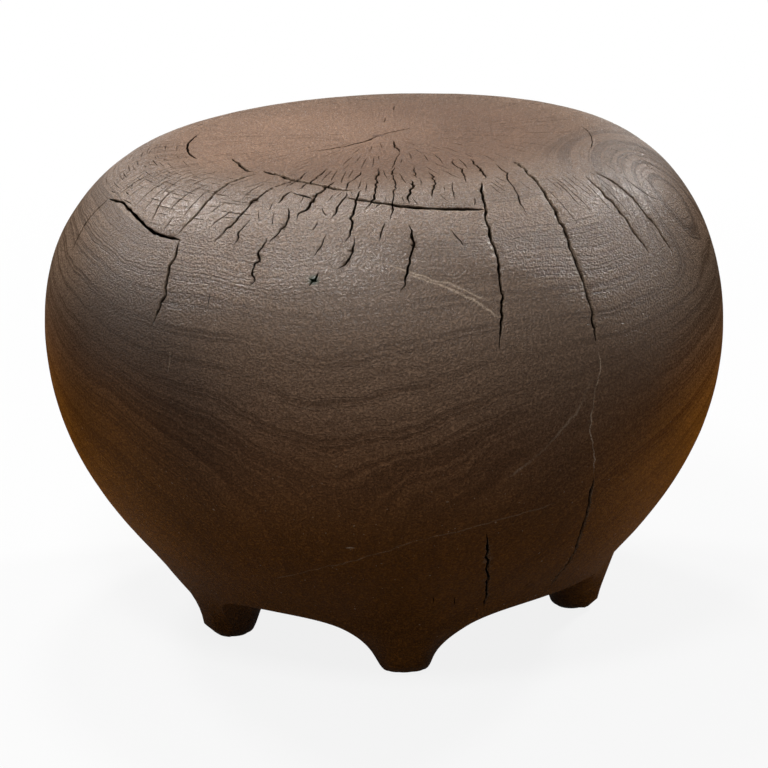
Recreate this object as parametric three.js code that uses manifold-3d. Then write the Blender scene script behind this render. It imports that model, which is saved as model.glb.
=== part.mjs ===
// A round carved footstool: one log shaped to a wide bulb, hollowed between its four feet from below,
// with the drying checks that run from the sawn top down its sides, and a felt pad under each foot.
// Millimetres, +Z up. The origin is on the floor under the middle of the stool, and the front faces -Y.

import * as THREE from 'three';
import Module from 'manifold-3d';
import { mergeVertices } from 'three/addons/utils/BufferGeometryUtils.js';

const wasm = await Module();
wasm.setup();

const { clamp, degToRad, lerp } = THREE.MathUtils;

// The bulb, as one outline from the middle of the top down to the floor
const topHeight = 397; // the sawn top above the floor, at its middle
const topRadius = 174; // the flat of the top, before the shoulder turns over
const bellyRadius = 277; // the widest place
const bellyHeight = 247;
const shoulderEase = 25; // how far the flat runs on into the shoulder
const shoulderRise = 111; // how far the side stays upright above the widest place
const bellyDrop = 97; // how far it stays upright below it
const skirtRadius = 190; // where the side meets the hollow underneath
const skirtHeight = 55;
const skirtEase = 51; // how far the side runs straight before it gets there
const skirtSlope = degToRad(51); // its slope there, from the horizontal

// The saw and the axe left the top a little off level and off centre
const crownTilt = degToRad(2.75); // higher towards +X
const crownShift = 6; // the middle of the top, towards -X

// The feet, each left standing at its own place by the hollowing
const footReach = 172; // how far out a foot's outer face stands at the floor
const footHalfWidth = 19;
const footFlare = 24; // how far the hollow takes to run down to a foot's side
const heelFlareShare = 0.3; // and to its heel, as a share of that
const feet = [
  { name: 'front', azimuth: degToRad(6), reachShare: 1.01, flareShare: 1 },
  { name: 'right', azimuth: degToRad(88), reachShare: 1.03, flareShare: 1 },
  { name: 'back', azimuth: degToRad(188), reachShare: 1, flareShare: 1 },
  { name: 'left', azimuth: degToRad(-60), reachShare: 0.95, flareShare: 0.7 },
].map(({ name, azimuth, reachShare, flareShare }) => (
  { name, azimuth, reach: footReach * reachShare, flare: footFlare * flareShare }
));
const footHeelInset = 2; // the middle of the foot's round, in from its half width
const footBatter = Math.tan(degToRad(18.5)); // how far a foot's outer face leans out as it rises
const footFaceRadius = 85; // the outer face is rounded from side to side
const footBlend = 8; // softens the crease where that face runs into the bulb
const footFaceTop = 95; // and it has run out altogether at this height
const footFaceFade = 30;
const toeRadius = 5; // the worn edge round the sole

// The hollow under the bulb, a little higher on the right
const hollowHeight = 56;
const hollowRise = 3;

// The felt pads under the feet
const padThickness = 2;
const padRadius = 12.5;
const padSides = 32;

// Drying checks that are wide enough to see into. Each runs through places on the side: degrees from the
// front towards the right, and shares of the way from the middle of the top to the floor.
const checkWidth = 2;
const checkDepth = 12;
const checks = [
  { widthShare: 1.1, depthShare: 1.25,
    degrees: [26, 22.5, 21.5, 21, 20, 18.5], wayShares: [0.24, 0.33, 0.38, 0.43, 0.49, 0.54] },
  { widthShare: 1.15, depthShare: 1.3,
    degrees: [46, 41, 39, 37.5, 36, 36], wayShares: [0.17, 0.2, 0.27, 0.35, 0.43, 0.55] },
  { widthShare: 0.9, depthShare: 1,
    degrees: [37, 39, 41.5, 41], wayShares: [0.68, 0.75, 0.82, 0.88] },
  { widthShare: 0.85, depthShare: 0.9,
    degrees: [18, 20, 23, 24], wayShares: [0.73, 0.78, 0.85, 0.89] },
  { widthShare: 0.9, depthShare: 0.85,
    degrees: [-7, 0, 8, 21.5], wayShares: [0.26, 0.285, 0.31, 0.335] },
  { widthShare: 0.95, depthShare: 0.9,
    degrees: [-52, -38, -24, -14, -5], wayShares: [0.15, 0.15, 0.165, 0.185, 0.21] },
  { widthShare: 1.35, depthShare: 1.2,
    degrees: [-72, -65, -56, -48, -40], wayShares: [0.37, 0.36, 0.375, 0.395, 0.4] },
  { widthShare: 0.9, depthShare: 1,
    degrees: [-40.5, -40, -39, -40.5], wayShares: [0.41, 0.45, 0.49, 0.53] },
  { widthShare: 0.9, depthShare: 0.9,
    degrees: [-42, -40.5, -40, -41.5], wayShares: [0.16, 0.22, 0.34, 0.39] },
  { widthShare: 0.8, depthShare: 0.85,
    degrees: [52, 52, 52, 53.5], wayShares: [0.31, 0.37, 0.43, 0.47] },
  { widthShare: 0.85, depthShare: 0.85,
    degrees: [56, 58.5, 58.5, 60.5], wayShares: [0.31, 0.37, 0.42, 0.48] },
];
const checkEndShare = 0.25; // a check's width and depth where it closes up, of those at its middle
const checkWander = 0.9; // how far it strays from side to side as it follows the grain
const checkSwings = 3.5; // and how often
const stepsPerLeg = 3;
const cutOverrun = 1.5;

// Where the outline changes from the flat to the shoulder, the belly and the skirt, as shares of the way
const flatShare = 0.2;
const wideShare = 0.6;
const skirtShare = 0.9;

// How finely the surface is divided
const columnsPerFoot = 12;
const columnsPerGap = 12;
const flatRows = 3;
const shoulderRows = 11;
const bellyRows = 9;
const skirtRows = 6;
const hollowRows = 22;
const hollowCrowdingPower = 1.5; // rows crowd towards the rim, where the feet are
const rimSearchSteps = 40;
const normalStepShare = 0.001; // the small step that a normal is measured over

const fullTurn = 2 * Math.PI;

const darkWood = new THREE.MeshStandardMaterial({ color: 0x4c3a2d, roughness: 0.5, metalness: 0 });
const darkFelt = new THREE.MeshStandardMaterial({ color: 0x2b2724, roughness: 1, metalness: 0 });

function bezier(start, leave, arrive, end, t) {
  const s = 1 - t;
  return s ** 3 * start + 3 * s * s * t * leave + 3 * s * t * t * arrive + t ** 3 * end;
}

function smoothMax(a, b, blend) {
  const mix = clamp(0.5 + (0.5 * (a - b)) / blend, 0, 1);
  return lerp(b, a, mix) + blend * mix * (1 - mix);
}

function smoothStep(share) {
  const t = clamp(share, 0, 1);
  return t * t * (3 - 2 * t);
}

// The bulb's outline: radius and height at a share of the way
function outline(way) {
  if (way <= flatShare) {
    return { radius: (topRadius * way) / flatShare, height: topHeight };
  }
  if (way <= wideShare) {
    const t = (way - flatShare) / (wideShare - flatShare);
    return {
      radius: bezier(topRadius, topRadius + shoulderEase, bellyRadius, bellyRadius, t),
      height: bezier(topHeight, topHeight, bellyHeight + shoulderRise, bellyHeight, t),
    };
  }
  if (way <= skirtShare) {
    const t = (way - wideShare) / (skirtShare - wideShare);
    const arriveRadius = skirtRadius + skirtEase * Math.cos(skirtSlope);
    const arriveHeight = skirtHeight + skirtEase * Math.sin(skirtSlope);
    return {
      radius: bezier(bellyRadius, bellyRadius, arriveRadius, skirtRadius, t),
      height: bezier(bellyHeight, bellyHeight - bellyDrop, arriveHeight, skirtHeight, t),
    };
  }
  const height = lerp(skirtHeight, padThickness, (way - skirtShare) / (1 - skirtShare));
  return { radius: skirtRadius - (skirtHeight - height) / Math.tan(skirtSlope), height };
}

// How far out the feet's outer faces reach at an azimuth and a height
function footFace(azimuth, height) {
  const lift = clamp((height - padThickness) / toeRadius, 0, 1);
  const toe = toeRadius * (1 - Math.sqrt(1 - (1 - lift) ** 2));
  const reaches = feet.map((foot) => {
    const turn = Math.atan2(Math.sin(azimuth - foot.azimuth), Math.cos(azimuth - foot.azimuth));
    const across = foot.reach * Math.sin(clamp(turn, -fullTurn / 6, fullTurn / 6));
    return foot.reach - across ** 2 / (2 * footFaceRadius);
  });
  return Math.max(...reaches) + footBatter * (height - padThickness) - toe;
}

// A place on the outside of the wood
function sidePoint(azimuth, way) {
  const { radius, height } = outline(way);
  const faced = smoothMax(radius, footFace(azimuth, height), footBlend);
  const reach = lerp(radius, faced, smoothStep((footFaceTop - height) / footFaceFade));
  const rise = clamp((height - bellyHeight) / (topHeight - bellyHeight), 0, 1);
  const x = reach * Math.sin(azimuth) - crownShift * rise ** 2;
  const y = -reach * Math.cos(azimuth);
  return new THREE.Vector3(x, y, height + Math.tan(crownTilt) * x * smoothStep(rise));
}

// The height of the wood's underside over a place on the floor: the hollow, brought down at each foot
function underside(x, y) {
  const share = feet.reduce((product, foot) => {
    const outX = Math.sin(foot.azimuth);
    const outY = -Math.cos(foot.azimuth);
    const outward = x * outX + y * outY - footCentre(foot);
    const across = y * outX - x * outY;
    const behind = Math.min(outward, 0);
    const apart = Math.hypot(behind, across);
    const heelward = (behind / Math.max(apart, footHalfWidth)) ** 2;
    const flare = foot.flare * lerp(1, heelFlareShare, heelward);
    const clear = apart - footHalfWidth;
    const eased = clear > toeRadius ? clear : Math.max(clear + toeRadius, 0) ** 2 / (4 * toeRadius);
    return product * (1 - Math.exp(-eased / flare));
  }, 1);
  const hollow = hollowHeight + (hollowRise * x) / skirtRadius;
  return lerp(padThickness, hollow, share);
}

function footCentre(foot) {
  return foot.reach - footHalfWidth - footHeelInset;
}

// The share of the way at which the side meets the underside
function rimWay(azimuth) {
  let above = wideShare;
  let below = 1;
  for (let step = 0; step < rimSearchSteps; step += 1) {
    const way = (above + below) / 2;
    const place = sidePoint(azimuth, way);
    if (place.z > underside(place.x, place.y)) {
      above = way;
    } else {
      below = way;
    }
  }
  return above;
}

// Azimuths of the surface's columns, closer together at the feet
function columnAzimuths() {
  const inOrder = [...feet].sort((a, b) => a.azimuth - b.azimuth);
  const halfSpan = (foot) => Math.asin((footHalfWidth + foot.flare) / foot.reach);
  return inOrder.flatMap((foot, index) => {
    const last = index === inOrder.length - 1;
    const next = inOrder[(index + 1) % inOrder.length];
    const start = foot.azimuth - halfSpan(foot);
    const end = foot.azimuth + halfSpan(foot);
    const nextStart = next.azimuth - halfSpan(next) + (last ? fullTurn : 0);
    const overFoot = Array.from({ length: columnsPerFoot }, (_, i) => lerp(start, end, i / columnsPerFoot));
    const overGap = Array.from({ length: columnsPerGap }, (_, i) => lerp(end, nextStart, i / columnsPerGap));
    return [...overFoot, ...overGap];
  });
}

// Shares of the way for the rows of one column, from just outside the middle of the top to the rim
function rowWays(azimuth) {
  const rim = rimWay(azimuth);
  const spread = (from, to, rows) => Array.from({ length: rows }, (_, i) => lerp(from, to, (i + 1) / rows));
  const lowest = lerp(wideShare, skirtShare, (bellyRows - 1) / bellyRows);
  return [
    ...spread(0, flatShare, flatRows),
    ...spread(flatShare, wideShare, shoulderRows),
    ...spread(wideShare, lowest, bellyRows - 1),
    ...spread(lowest, rim, skirtRows),
  ];
}

// The uncracked log: the side from the top down to the rim, and the underside from the rim inwards
function carvedLog() {
  const columns = columnAzimuths();
  const count = columns.length;
  const places = [sidePoint(0, 0)];
  const sides = columns.map((azimuth) => rowWays(azimuth).map((way) => sidePoint(azimuth, way)));
  const sideRows = sides[0].length;
  for (let row = 0; row < sideRows; row += 1) {
    sides.forEach((side) => places.push(side[row]));
  }
  for (let row = 1; row < hollowRows; row += 1) {
    const inShare = 1 - (row / hollowRows) ** hollowCrowdingPower;
    sides.forEach((side) => {
      const rim = side[sideRows - 1];
      const x = rim.x * inShare;
      const y = rim.y * inShare;
      places.push(new THREE.Vector3(x, y, underside(x, y)));
    });
  }
  places.push(new THREE.Vector3(0, 0, underside(0, 0)));

  const rings = sideRows + hollowRows - 1;
  const lastPlace = places.length - 1;
  const at = (ring, column) => 1 + ring * count + (column % count);
  const faces = [];
  for (let column = 0; column < count; column += 1) {
    faces.push(0, at(0, column), at(0, column + 1));
    faces.push(at(rings - 1, column), lastPlace, at(rings - 1, column + 1));
    for (let ring = 0; ring < rings - 1; ring += 1) {
      const a = at(ring, column);
      const b = at(ring + 1, column);
      const c = at(ring + 1, column + 1);
      const d = at(ring, column + 1);
      faces.push(a, b, c, a, c, d);
    }
  }
  return meshOf(places, faces);
}

function meshOf(places, faces) {
  const geometry = new THREE.BufferGeometry().setFromPoints(places);
  geometry.setIndex(faces);
  return geometry;
}

// The outward normal of the side at a place
function sideNormal(azimuth, way) {
  const down = sidePoint(azimuth, way + normalStepShare).sub(sidePoint(azimuth, way - normalStepShare));
  const along = sidePoint(azimuth + normalStepShare, way).sub(sidePoint(azimuth - normalStepShare, way));
  return down.cross(along).normalize();
}

// The wedge of air in one check: a V that follows the route and closes up towards both ends
function checkWedge({ widthShare, depthShare, degrees, wayShares }) {
  const width = checkWidth * widthShare;
  const depth = checkDepth * depthShare;
  const legs = degrees.length - 1;
  const route = Array.from({ length: legs * stepsPerLeg + 1 }, (_, index) => {
    const leg = Math.min(Math.floor(index / stepsPerLeg), legs - 1);
    const t = index / stepsPerLeg - leg;
    return {
      azimuth: degToRad(lerp(degrees[leg], degrees[leg + 1], t)),
      way: lerp(wayShares[leg], wayShares[leg + 1], t),
    };
  });

  const centres = route.map(({ azimuth, way }) => sidePoint(azimuth, way));
  const places = [];
  route.forEach(({ azimuth, way }, index) => {
    const share = index / (route.length - 1);
    const open = lerp(checkEndShare, 1, Math.sqrt(Math.sin(Math.PI * share)));
    const normal = sideNormal(azimuth, way);
    const before = centres[Math.max(index - 1, 0)];
    const after = centres[Math.min(index + 1, route.length - 1)];
    const across = after.clone().sub(before).cross(normal).normalize();
    const stray = checkWander * Math.sin(fullTurn * checkSwings * share);
    const halfWidth = (width / 2) * open;
    const lip = halfWidth * (1 + cutOverrun / (depth * open));
    const middle = centres[index].clone().addScaledVector(across, stray);
    const above = middle.clone().addScaledVector(normal, cutOverrun);
    places.push(above.clone().addScaledVector(across, lip));
    places.push(middle.clone().addScaledVector(normal, -depth * open));
    places.push(above.clone().addScaledVector(across, -lip));
  });

  const corners = 3;
  const faces = [0, 2, 1];
  for (let index = 0; index < route.length - 1; index += 1) {
    for (let corner = 0; corner < corners; corner += 1) {
      const a = index * corners + corner;
      const b = index * corners + ((corner + 1) % corners);
      faces.push(a, b, b + corners, a, b + corners, a + corners);
    }
  }
  const lastRing = (route.length - 1) * corners;
  faces.push(lastRing, lastRing + 1, lastRing + 2);
  return meshOf(places, faces);
}

function solidOf(geometry) {
  const bare = mergeVertices(geometry);
  const vertProperties = new Float32Array(bare.attributes.position.array);
  const triVerts = new Uint32Array(bare.index.array);
  return new wasm.Manifold(new wasm.Mesh({ numProp: 3, vertProperties, triVerts }));
}

function geometryOf(solid) {
  const { vertProperties, triVerts } = solid.getMesh();
  const geometry = new THREE.BufferGeometry();
  geometry.setAttribute('position', new THREE.BufferAttribute(vertProperties, 3));
  geometry.setIndex(new THREE.BufferAttribute(triVerts, 1));
  geometry.computeVertexNormals();
  return geometry;
}

// The whole wooden part, with every check cut into it
function carvedBody() {
  const wedges = checks.map((check) => solidOf(checkWedge(check)));
  const solid = wedges.reduce((wood, wedge) => wood.subtract(wedge), solidOf(carvedLog()));
  const mesh = new THREE.Mesh(geometryOf(solid), darkWood);
  mesh.name = 'carved_body';
  return mesh;
}

// A felt disc stuck under the middle of a foot
function feltPad(foot) {
  const disc = new THREE.CylinderGeometry(padRadius, padRadius, padThickness, padSides);
  const mesh = new THREE.Mesh(disc, darkFelt);
  mesh.name = `felt_pad_${foot.name}`;
  mesh.rotation.x = Math.PI / 2;
  const out = footCentre(foot);
  mesh.position.set(out * Math.sin(foot.azimuth), -out * Math.cos(foot.azimuth), padThickness / 2);
  return mesh;
}

const footstool = new THREE.Group();
footstool.add(carvedBody());
feet.forEach((foot) => footstool.add(feltPad(foot)));

export default footstool;
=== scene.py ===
"""A footstool carved from one log: its fine surface, drying checks and finish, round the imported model."""

import math
from typing import NamedTuple

import bpy
import numpy as np
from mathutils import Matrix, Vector, kdtree, noise
from mathutils.geometry import delaunay_2d_cdt


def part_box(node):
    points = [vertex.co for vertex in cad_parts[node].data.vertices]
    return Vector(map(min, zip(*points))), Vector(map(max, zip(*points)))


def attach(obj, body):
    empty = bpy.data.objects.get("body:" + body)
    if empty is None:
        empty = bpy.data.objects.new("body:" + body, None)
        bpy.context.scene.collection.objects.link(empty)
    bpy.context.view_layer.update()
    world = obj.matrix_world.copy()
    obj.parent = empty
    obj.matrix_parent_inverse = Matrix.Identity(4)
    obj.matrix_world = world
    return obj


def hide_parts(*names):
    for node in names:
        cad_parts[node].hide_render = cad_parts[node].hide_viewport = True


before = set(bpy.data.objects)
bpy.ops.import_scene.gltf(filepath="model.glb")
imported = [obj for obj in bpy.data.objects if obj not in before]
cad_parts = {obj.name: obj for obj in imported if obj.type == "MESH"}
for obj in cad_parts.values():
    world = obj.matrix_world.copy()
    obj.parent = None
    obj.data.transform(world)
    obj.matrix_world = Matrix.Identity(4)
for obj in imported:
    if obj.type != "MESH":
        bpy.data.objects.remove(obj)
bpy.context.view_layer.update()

bl_info = {
    "name": "Carved log footstool",
    "version": (1, 0, 0),
    "blender": (4, 5, 0),
    "location": "3D View > Sidebar > Footstool",
    "description": "A stool carved from one log, with its drying checks, felt pads and a studio stage",
    "category": "Add Mesh",
}

MM = 0.001
FULL_TURN = 2 * math.pi
NO_LENGTH = 1e-12

# The pith of the log, and the middle of a painted pool of light beside it, on the flat of the top
PITH_X = -5 * MM
PITH_Y = 13 * MM
TOP_LIGHT_POOL_PLACE = (-85 * MM, 30 * MM, 395 * MM)

# Where the outline changes from the flat to the shoulder, the belly and the skirt, as shares of the way
# from the middle of the top down to the floor
FLAT_SHARE = 0.2
WIDE_SHARE = 0.6
SKIRT_SHARE = 0.9


class Foot(NamedTuple):
    """The way a foot faces, in degrees from the front towards the right, and its shares of the usual foot's
    reach and flare."""

    name: str
    degrees: float
    reach_share: float
    flare_share: float


FEET = (
    Foot("front", 6, 1.01, 1),
    Foot("right", 88, 1.03, 1),
    Foot("back", 188, 1, 1),
    Foot("left", -60, 0.95, 0.7),
)


class Check(NamedTuple):
    """A drying check, or a pale scuff: its width and depth, and the places it runs through, as degrees from
    the front towards the right and shares of the way from the middle of the top to the floor."""

    width: float
    depth: float
    degrees: tuple
    ways: tuple


def drawn(*rows):
    """Checks at listed places: widths and depths in millimetres, and ways in thousandths."""
    return [Check(width * MM, depth * MM, degrees, [way / 1000 for way in ways])
            for width, depth, degrees, ways in rows]


# The part has them too, narrower, and the sixth and the seventh as one.
WIDE_CHECKS = drawn(
    (2.4, 15, (26, 22.5, 21.5, 21, 20, 18.5), (240, 330, 380, 430, 490, 540)),
    (3, 15.5, (46, 41, 39, 37.5, 36, 36), (170, 200, 270, 350, 430, 550)),
    (2.8, 12, (37, 39, 41.5, 41), (680, 750, 820, 880)),
    (2.2, 11, (18, 20, 23, 24), (730, 780, 850, 890)),
    (3.3, 10, (-7, 0, 8, 22.3), (260, 285, 310, 335)),
    (3.2, 11, (-68, -58, -46, -42), (142, 146, 158, 156)),
    (4.8, 11, (-43, -37, -33, -28.5, -25.5, -21.5, -14, -5), (150, 153, 157, 165, 168, 173, 185, 210)),
    (2.8, 14, (-72, -65, -56, -48, -40), (370, 360, 375, 395, 400)),
    (2.6, 12, (-40.2, -40, -39, -40.5), (400, 450, 490, 530)),
    (2.4, 11, (-42, -40.5, -40, -41.5), (160, 220, 340, 390)),
    (2.7, 10, (52, 52, 52, 53.5), (310, 370, 430, 470)),
    (2.7, 10, (56, 58.5, 58.5, 60.5), (310, 370, 420, 480)),
)

# The narrower ones between them, from the left shoulder to the right one, and then a few lower down
NARROW_CHECKS = drawn(
    (2.2, 5, (-72, -73, -71.5), (370, 430, 480)),
    (0.9, 3, (-72, -73, -74), (240, 280, 320)),
    (1.3, 5, (-68, -68.5, -69.5, -69.5), (245, 285, 320, 355)),
    (1, 3, (-63.5, -64.5, -64.5), (300, 330, 355)),
    (1, 3, (-62.5, -63, -64), (200, 245, 290)),
    (1.3, 5, (-58, -59, -59.5, -59.5), (250, 290, 320, 360)),
    (1, 3, (-58.5, -57.5, -56.5), (185, 220, 265)),
    (1.1, 4, (-54, -53, -52.5), (175, 215, 260)),
    (1.2, 5, (-52, -53, -52.5, -51.5, -50.5), (270, 305, 330, 350, 375)),
    (1.1, 4, (-49.5, -49, -49.5), (190, 235, 275)),
    (1.2, 5, (-45.5, -47, -47.5, -48, -47.5), (240, 280, 305, 330, 350)),
    (1.1, 4, (-45.5, -45.5, -45.5), (355, 370, 390)),
    (1.1, 4, (-42, -43, -43, -43), (250, 285, 320, 355)),
    (1, 4, (-35.5, -37), (300, 335)),
    (1.1, 4, (-31.5, -33, -34.5, -34.5), (315, 335, 355, 370)),
    (1, 4, (-32.5, -34.5), (175, 235)),
    (1.8, 7, (-25, -25.5, -27, -27.5, -28.5, -29, -29.5, -31, -32.5),
     (160, 175, 200, 240, 290, 305, 335, 370, 395)),
    (1.3, 5, (-26.5, -27, -28, -27.5, -28), (335, 350, 370, 380, 400)),
    (1.3, 4, (-27, -24.5, -24), (135, 165, 195)),
    (1.6, 5, (-20.5, -21.5, -22, -22.5), (225, 235, 265, 290)),
    (0.9, 3, (-23.5, -23.5), (285, 315)),
    (2, 5, (-20.5, -18.5, -14.5), (235, 245, 268)),
    (1.5, 5, (-21, -20.5, -19.5, -19.5, -20), (120, 130, 165, 180, 210)),
    (1.8, 7, (-19.5, -18.5, -19, -20, -21), (300, 325, 350, 370, 390)),
    (1.7, 7, (-21.5, -22, -22.5, -22, -23, -23, -22, -23), (375, 390, 405, 420, 425, 440, 450, 460)),
    (2.2, 7, (-12.5, -13.5, -13.5, -14.5, -15, -16.5, -16.5), (170, 190, 220, 260, 310, 320, 340)),
    (0.8, 2, (-16, -13.5), (125, 170)),
    (0.8, 2, (-12, -10), (130, 180)),
    (1.1, 4, (-12, -13), (340, 360)),
    (1.1, 4, (-10, -10.5, -11, -12), (365, 385, 395, 410)),
    (1.3, 4, (-5.5, -6.5, -8, -7.5), (130, 155, 180, 200)),
    (1.8, 6, (-7, -7, -8, -8.5, -9.5), (225, 250, 285, 310, 330)),
    (0.8, 2, (-4.5, -4.5), (165, 200)),
    (1.7, 7, (-3.5, -4.5, -4.5, -5.5, -5, -5.5, -6.5), (205, 260, 315, 330, 345, 370, 385)),
    (1.6, 6, (-4.5, -4.5, -5.5, -7.5), (375, 390, 415, 430)),
    (0.8, 2, (-2.5, -2.5), (180, 235)),
    (1.5, 5, (1, 0, 0, -0.5, -2.5), (120, 160, 215, 270, 310)),
    (1.3, 5, (8, 5.5, 5.5, 5, 4.5, 3.5, 3, 2.5), (120, 140, 165, 190, 220, 300, 320, 340)),
    (1, 3, (1.5, 0.5, 0), (345, 370, 385)),
    (1.9, 8, (6, 6.5, 6, 6.5, 5.5, 4, 4, 3), (350, 365, 385, 395, 425, 450, 455, 465)),
    (2, 6, (10, 9.5, 9, 8, 7, 7), (175, 190, 210, 255, 285, 300)),
    (1.3, 4, (15.5, 14, 12.5, 12), (125, 140, 160, 170)),
    (0.8, 2, (13, 11), (170, 205)),
    (1.5, 5, (18, 17, 16, 15, 13, 12.5), (150, 170, 185, 205, 260, 285)),
    (0.9, 3, (19.5, 18, 17), (200, 250, 300)),
    (1, 4, (14, 15.5), (370, 405)),
    (1.3, 4, (35, 31, 28.5, 26, 23, 22.5), (120, 130, 155, 175, 200, 225)),
    (1.6, 5, (40, 36, 32.5, 29.5, 27.5), (130, 150, 170, 190, 220)),
    (1.3, 5, (40, 36.5, 34.5, 33, 32, 31.5, 30.5, 30.5), (165, 185, 210, 245, 285, 315, 335, 365)),
    (1.1, 4, (62, 62.5, 63, 64.5, 66.5), (345, 360, 380, 400, 410)),
    (0.9, 4, (77.5, 79.5), (330, 380)),
    (0.9, 4, (-30, -30), (470, 500)),
    (0.8, 3, (10.5, 11), (845, 865)),
    (0.9, 3, (15.5, 16), (850, 875)),
    (0.9, 3, (34, 32), (830, 860)),
    (1.8, 5, (-10.7, -12.3), (434, 456)),
    (1.5, 4, (-12.3, -10.8), (444, 449)),
)

# Degrees and share of the way of a small green-stained knot, where the last two of them cross, of the middle
# of the swirl in the grain on the right shoulder, and of the darkest wood at the left
KNOT = (-11.5, 0.446)
SWIRL = (72, 0.35)
DARK_SIDE = (-48, 0.61)

# Stretches where a growth ring has opened at the edge of the top
RING_CHECKS = drawn(
    (2, 3, (-110, -92, -73), (178, 176, 171)),
    (0.9, 3, (95, 80, 68), (190, 200, 235)),
)


# Pale scuffs, whose depth is only a scratch's. The first two are soft streaks of painted sheen.
SCUFFS = drawn(
    (2.4, 0.2, (0, 6, 12, 19), (420, 440, 460, 490)),
    (2.8, 0.2, (3, 9, 15, 20), (435, 455, 480, 510)),
    (1.8, 0.05, (-24, -11, -5, 5, 12, 18, 31), (820, 780, 765, 735, 725, 715, 700)),
    (3.2, 0.07, (35.5, 32.5, 27, 22.5, 19.5), (575, 605, 635, 655, 665)),
    (1.5, 0.2, (36, 36.5, 35, 34.5, 36, 37), (550, 575, 600, 625, 650, 680)),
    (2, 0.2, (-7, -5), (745, 745)),
    (1.3, 0.1, (-13, -10.5), (595, 595)),
    (1.3, 0.1, (-36, -36, -36.5), (550, 565, 580)),
)


def length(label, description, millimetres):
    return bpy.props.FloatProperty(name=label, description=description, default=millimetres * MM,
                                   unit="LENGTH")


def angle(label, description, degrees):
    return bpy.props.FloatProperty(name=label, description=description, default=math.radians(degrees),
                                   subtype="ANGLE")


def factor(label, description, default):
    return bpy.props.FloatProperty(name=label, description=description, default=default, subtype="FACTOR",
                                   min=0, max=1)


def colour(label, description, default):
    return bpy.props.FloatVectorProperty(name=label, description=description, default=default,
                                         subtype="COLOR", size=3, min=0, max=1)


class FootstoolShape(bpy.types.PropertyGroup):
    """Sizes of the log's outline, of its feet and of the hollow between them."""

    top_height: length("Top height", "The sawn top above the floor, at its middle", 397)
    top_radius: length("Top radius", "The flat of the top", 174)
    belly_radius: length("Belly radius", "The widest place", 277)
    belly_height: length("Belly height", "Height of the widest place", 247)
    shoulder_ease: length("Shoulder ease", "How far the flat runs on into the shoulder", 25)
    shoulder_rise: length("Shoulder rise", "How far the side stays upright above the belly", 111)
    belly_drop: length("Belly drop", "How far the side stays upright below the belly", 97)
    skirt_radius: length("Skirt radius", "Where the side meets the hollow", 190)
    skirt_height: length("Skirt height", "Height of that edge between the feet", 55)
    skirt_ease: length("Skirt ease", "How far the side runs straight before that edge", 51)
    skirt_slope: angle("Skirt slope", "The side's slope there, from the horizontal", 51)
    crown_tilt: angle("Crown tilt", "How far the top is off level, higher on the right", 2.75)
    crown_shift: length("Crown shift", "How far the middle of the top lies to the left", 6)
    foot_reach: length("Foot reach", "How far out a foot's outer face stands at the floor", 172)
    foot_half_width: length("Foot half width", "Half the width of a foot's sole", 19)
    foot_flare: length("Foot flare", "How far the hollow takes to run down to a foot's side", 24)
    heel_flare: factor("Heel flare", "The same at the foot's heel, as a share of that", 0.3)
    heel_inset: length("Heel inset", "The middle of the foot's round, in from its half width", 2)
    foot_batter: angle("Foot batter", "How far a foot's outer face leans out as it rises", 18.5)
    foot_round: length("Foot round", "The outer face's radius from side to side", 85)
    foot_blend: length("Foot blend", "Softens the crease where that face meets the bulb", 8)
    foot_top: length("Foot top", "The height at which that face has run out", 95)
    foot_fade: length("Foot fade", "How far it takes to run out", 30)
    toe_radius: length("Toe radius", "The worn edge round the sole", 5)
    sole_front: length("Sole front", "Half the straight front of a sole, between its worn corners", 8)
    sole_corner: length("Sole corner", "The radius of those corners", 9)
    corner_height: length("Corner height", "The height at which those corners have run out", 42)
    hollow_height: length("Hollow height", "The hollow under the bulb", 56)
    hollow_rise: length("Hollow rise", "How much higher the hollow is on the right", 3)
    facet_depth: length("Facet depth", "How far the hand-shaped surface dips", 1.5)


class FootstoolFinish(bpy.types.PropertyGroup):
    """Colours of the wood and the felt, with painted light and shade among them."""

    top_wood: colour("Top", "The sawn top, oiled", (0.143, 0.082, 0.051))
    # A painted pool of light on the top, beside the pith
    top_light_pool: colour("Pale top", "The paler wood of the top, beside the pith", (0.28, 0.172, 0.114))
    shoulder_wood: colour("Shoulder", "The greyer wood of the shoulder", (0.172, 0.116, 0.080))
    belly_wood: colour("Belly", "The dark wood of the belly", (0.125, 0.068, 0.038))
    # Dark wood low down, whose warmth is partly painted warm reflection
    low_wood_and_warm_reflection: colour("Feet", "The warm dark wood low down", (0.13, 0.047, 0.007))
    # Painted warm reflection on both lower sides
    painted_warm_reflection: colour("Amber", "The warmer wood at both sides", (0.38, 0.14, 0.02))
    # Painted shade deep inside a check
    check_painted_shade: colour("Checks", "The wood deep inside a check", (0.008, 0.005, 0.003))
    # Pale scuffs and specks, and the painted highlight along a check's eased lip
    scuff_and_lip_highlight: colour("Lips", "The fresh edge along a check", (0.34, 0.26, 0.19))
    knot_stain: colour("Knot stain", "The green stain of a small knot", (0.012, 0.030, 0.014))
    felt: colour("Felt", "The pads under the feet", (0.022, 0.020, 0.018))


def bezier(start, leave, arrive, end, t):
    s = 1 - t
    return s**3 * start + 3 * s * s * t * leave + 3 * s * t * t * arrive + t**3 * end


def smooth_max(a, b, blend):
    mix = np.clip(0.5 + 0.5 * (a - b) / blend, 0, 1)
    return b + (a - b) * mix + blend * mix * (1 - mix)


def smooth_step(share):
    t = np.clip(share, 0, 1)
    return t * t * (3 - 2 * t)


def in_rows(*columns):
    return np.stack(np.broadcast_arrays(*columns), -1)


def all_round(count):
    return FULL_TURN * np.arange(count) / count


def outwards(azimuth, reach, *height):
    """Places at a reach from the middle, whose azimuth runs from the front towards the right."""
    return in_rows(reach * np.sin(azimuth), -reach * np.cos(azimuth), *height)


def azimuth_of(places):
    return np.arctan2(places[..., 0], -places[..., 1])


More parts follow.
